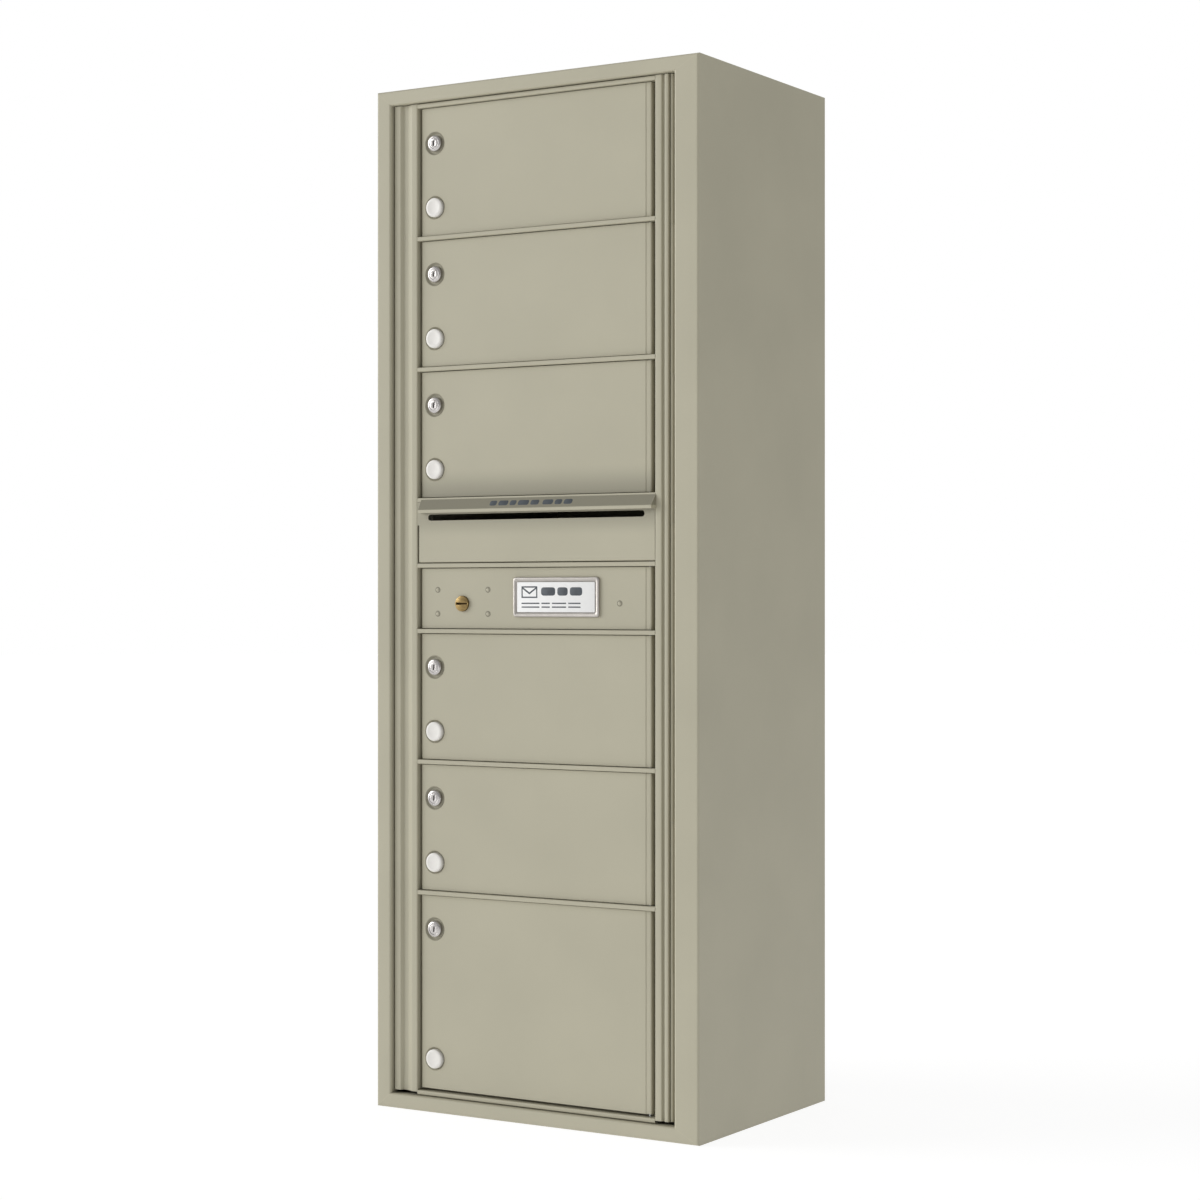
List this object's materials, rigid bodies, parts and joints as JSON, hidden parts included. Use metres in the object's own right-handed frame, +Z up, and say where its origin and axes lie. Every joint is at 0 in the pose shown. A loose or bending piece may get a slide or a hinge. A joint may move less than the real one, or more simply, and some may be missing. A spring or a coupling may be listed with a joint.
{
  "type": "cluster mailbox unit",
  "caption": "Surface-mounted mailbox column: a case with shelves behind a hinged master door that carries locking tenant doors, a hooded outgoing-mail slot and the carrier's lock.",
  "frame": {"origin": "middle of the bounding box's footprint, at floor level", "axes": "+Z up, +Y from the front towards the back, +X to the right as seen from the front"},
  "size_m": [0.507, 0.359, 1.39],
  "materials": {
    "case_paint": "satin",
    "door_paint": "satin",
    "inner_paint": "satin",
    "zinc_steel": "satin",
    "lock_chrome": "polished",
    "brass": "satin",
    "white_plastic": "matte",
    "plate_metal": "satin"
  },
  "bodies": {
    "cabinet": {"case_left_side": "case_paint", "case_right_side": "case_paint", "case_top": "case_paint", "case_bottom": "case_paint", "case_back_panel": "case_paint", "cabinet_left_wall": "inner_paint", "cabinet_right_wall": "inner_paint", "shelf_1": "inner_paint", "shelf_2": "inner_paint", "shelf_3": "inner_paint", "shelf_4": "inner_paint", "shelf_5": "inner_paint", "shelf_6": "inner_paint", "master_hinge_leaf": "door_paint", "master_hinge_pin": "zinc_steel", "latch_keeper": "zinc_steel"},
    "master_door": {"left_stile": "door_paint", "right_stile": "door_paint", "top_rail": "door_paint", "bottom_rail": "door_paint", "mullion_1": "door_paint", "mullion_2": "door_paint", "mullion_3": "door_paint", "mullion_4": "door_paint", "mullion_5": "door_paint", "mullion_6": "door_paint", "mullion_7": "door_paint", "outgoing_mail_panel": "door_paint", "outgoing_mail_hood": "door_paint", "lock_panel": "door_paint", "tenant_hinge_rod": "zinc_steel", "notice_plate_frame": "plate_metal", "notice_plate": "white_plastic", "carrier_lock_case": "zinc_steel"},
    "tenant_door_1": {"door_1": "door_paint", "number_disc_1": "white_plastic", "lock_housing_1": "lock_chrome"},
    "tenant_lock_1": {"lock_plug_1": "lock_chrome"},
    "tenant_door_2": {"door_2": "door_paint", "number_disc_2": "white_plastic", "lock_housing_2": "lock_chrome"},
    "tenant_lock_2": {"lock_plug_2": "lock_chrome"},
    "tenant_door_3": {"door_3": "door_paint", "number_disc_3": "white_plastic", "lock_housing_3": "lock_chrome"},
    "tenant_lock_3": {"lock_plug_3": "lock_chrome"},
    "tenant_door_4": {"door_4": "door_paint", "number_disc_4": "white_plastic", "lock_housing_4": "lock_chrome"},
    "tenant_lock_4": {"lock_plug_4": "lock_chrome"},
    "tenant_door_5": {"door_5": "door_paint", "number_disc_5": "white_plastic", "lock_housing_5": "lock_chrome"},
    "tenant_lock_5": {"lock_plug_5": "lock_chrome"},
    "tenant_door_6": {"door_6": "door_paint", "number_disc_6": "white_plastic", "lock_housing_6": "lock_chrome"},
    "tenant_lock_6": {"lock_plug_6": "lock_chrome"},
    "carrier_plug": {"carrier_lock_plug": "brass"},
    "latch": {"latch_bolt": "zinc_steel"}
  },
  "joints": [
    {"name": "master_door_swing", "type": "hinge", "parent": "cabinet", "child": "master_door", "pos_m": [0.2085, -0.164, 0.695], "axis": [0, 0, 1], "range_deg": [0, 100]},
    {"name": "tenant_door_1_swing", "type": "hinge", "parent": "master_door", "child": "tenant_door_1", "pos_m": [0.173, -0.1595, 1.27415], "axis": [0, 0, 1], "range_deg": [0, 95]},
    {"name": "tenant_lock_1_turn", "type": "hinge", "parent": "tenant_door_1", "child": "tenant_lock_1", "pos_m": [-0.164, -0.1555, 1.31405], "axis": [0, 1, 0], "range_deg": [0, 90]},
    {"name": "tenant_door_2_swing", "type": "hinge", "parent": "master_door", "child": "tenant_door_2", "pos_m": [0.173, -0.1595, 1.09635], "axis": [0, 0, 1], "range_deg": [0, 95]},
    {"name": "tenant_lock_2_turn", "type": "hinge", "parent": "tenant_door_2", "child": "tenant_lock_2", "pos_m": [-0.164, -0.1555, 1.13625], "axis": [0, 1, 0], "range_deg": [0, 90]},
    {"name": "tenant_door_3_swing", "type": "hinge", "parent": "master_door", "child": "tenant_door_3", "pos_m": [0.173, -0.1595, 0.91855], "axis": [0, 0, 1], "range_deg": [0, 95]},
    {"name": "tenant_lock_3_turn", "type": "hinge", "parent": "tenant_door_3", "child": "tenant_lock_3", "pos_m": [-0.164, -0.1555, 0.95845], "axis": [0, 1, 0], "range_deg": [0, 90]},
    {"name": "tenant_door_4_swing", "type": "hinge", "parent": "master_door", "child": "tenant_door_4", "pos_m": [0.173, -0.1595, 0.56295], "axis": [0, 0, 1], "range_deg": [0, 95]},
    {"name": "tenant_lock_4_turn", "type": "hinge", "parent": "tenant_door_4", "child": "tenant_lock_4", "pos_m": [-0.164, -0.1555, 0.60285], "axis": [0, 1, 0], "range_deg": [0, 90]},
    {"name": "tenant_door_5_swing", "type": "hinge", "parent": "master_door", "child": "tenant_door_5", "pos_m": [0.173, -0.1595, 0.38515], "axis": [0, 0, 1], "range_deg": [0, 95]},
    {"name": "tenant_lock_5_turn", "type": "hinge", "parent": "tenant_door_5", "child": "tenant_lock_5", "pos_m": [-0.164, -0.1555, 0.42505], "axis": [0, 1, 0], "range_deg": [0, 90]},
    {"name": "tenant_door_6_swing", "type": "hinge", "parent": "master_door", "child": "tenant_door_6", "pos_m": [0.173, -0.1595, 0.1629], "axis": [0, 0, 1], "range_deg": [0, 95]},
    {"name": "tenant_lock_6_turn", "type": "hinge", "parent": "tenant_door_6", "child": "tenant_lock_6", "pos_m": [-0.164, -0.1555, 0.24725], "axis": [0, 1, 0], "range_deg": [0, 90]},
    {"name": "carrier_lock_turn", "type": "hinge", "parent": "master_door", "child": "carrier_plug", "pos_m": [-0.118, -0.1555, 0.68905], "axis": [0, 1, 0], "range_deg": [0, 90]},
    {"name": "latch_bolt_slide", "type": "slide", "parent": "master_door", "child": "latch", "axis": [-1, 0, 0], "range_m": [0, 0.012]}
  ],
  "couplings": [
    {"joint": "carrier_lock_turn", "follows": "latch_bolt_slide", "rad_per_m": 130.8}
  ]
}
